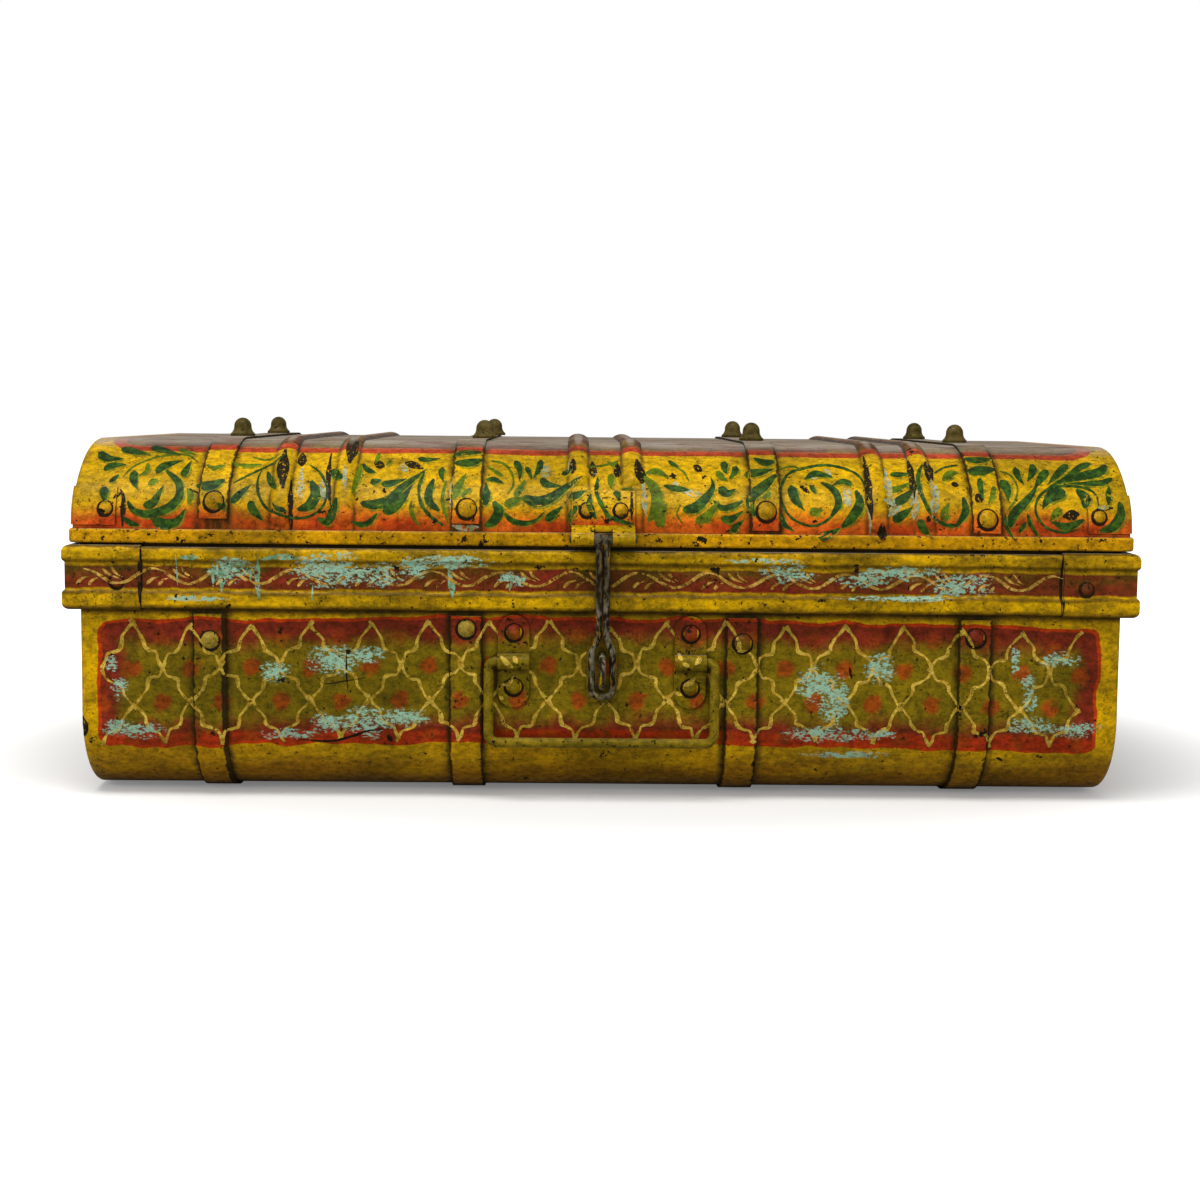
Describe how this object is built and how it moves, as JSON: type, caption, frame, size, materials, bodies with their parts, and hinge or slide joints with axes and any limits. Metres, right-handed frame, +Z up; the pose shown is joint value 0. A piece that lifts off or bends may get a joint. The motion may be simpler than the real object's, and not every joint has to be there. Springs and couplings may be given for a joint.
{
  "type": "painted metal trunk",
  "caption": "Hand-painted sheet-iron travelling trunk with a domed strapped lid on strap hinges, a hasp and staple, and a bail handle in front.",
  "frame": {"origin": "on the ground under the middle of the trunk", "axes": "+X to the right along the length, -Y out of the front with the hasp and handle, +Z up"},
  "size_m": [0.762, 0.4786, 0.2717],
  "materials": {
    "lid_enamel": "golden yellow oil enamel with green scrollwork, worn and dusty",
    "collar_enamel": "yellow beads and a maroon field with a pale gold vine, chipped",
    "tub_enamel": "olive and maroon panel with a pale gold ogee lattice, grimy",
    "strap_enamel": "hand-painted iron strap, chipped at the edges",
    "stud_iron": "olive bronze paint rubbed off the crown",
    "hasp_iron": "dark worn forged rod with remains of yellow paint",
    "handle_paint": "olive paint, worn to dark iron where a hand holds it",
    "fitting_iron": "yellow paint worn to dark iron"
  },
  "bodies": {
    "tub": {"collar_back": "collar_enamel", "collar_end_left": "collar_enamel", "collar_end_right": "collar_enamel", "collar_front": "collar_enamel", "collar_rivets": "collar_enamel", "handle_clip_left": "handle_paint", "handle_clip_right": "handle_paint", "handle_clip_rivets": "handle_paint", "hinge_leaf_lower_left": "fitting_iron", "hinge_leaf_lower_right": "fitting_iron", "hinge_lower_rivets": "fitting_iron", "hinge_pin_left": "fitting_iron", "hinge_pin_right": "fitting_iron", "staple": "fitting_iron", "staple_plate": "fitting_iron", "tub_end_left": "tub_enamel", "tub_end_right": "tub_enamel", "tub_strap_1": "strap_enamel", "tub_strap_2": "strap_enamel", "tub_strap_3": "strap_enamel", "tub_strap_4": "strap_enamel", "tub_strap_rivets": "strap_enamel", "tub_wrap": "tub_enamel"},
    "lid": {"hasp_pin": "hasp_iron", "hasp_plate": "lid_enamel", "hasp_plate_rivets": "lid_enamel", "hinge_leaf_upper_left": "fitting_iron", "hinge_leaf_upper_right": "fitting_iron", "hinge_upper_rivets": "fitting_iron", "lid_corner_back_left": "lid_enamel", "lid_corner_back_right": "lid_enamel", "lid_corner_front_left": "lid_enamel", "lid_corner_front_right": "lid_enamel", "lid_corner_rivets": "lid_enamel", "lid_end_left": "lid_enamel", "lid_end_right": "lid_enamel", "lid_rim": "lid_enamel", "lid_strap_1": "lid_enamel", "lid_strap_2": "lid_enamel", "lid_strap_3": "lid_enamel", "lid_strap_4": "lid_enamel", "lid_strap_rivets": "lid_enamel", "lid_studs": "stud_iron", "lid_wrap": "lid_enamel"},
    "hasp": {"hasp": "hasp_iron"},
    "handle": {"bail": "handle_paint"}
  },
  "joints": [
    {"name": "lid_hinge", "type": "hinge", "parent": "tub", "child": "lid", "pos_m": [0, 0.2343, 0.1825], "axis": [-1, 0, 0], "range_deg": [0, 105]},
    {"name": "hasp_hinge", "type": "hinge", "parent": "lid", "child": "hasp", "pos_m": [0, -0.2301, 0.1895], "axis": [-1, 0, 0], "range_deg": [0, 150]},
    {"name": "handle_hinge", "type": "hinge", "parent": "tub", "child": "handle", "pos_m": [0, -0.2244, 0.1015], "axis": [-1, 0, 0], "range_deg": [0, 150]}
  ]
}
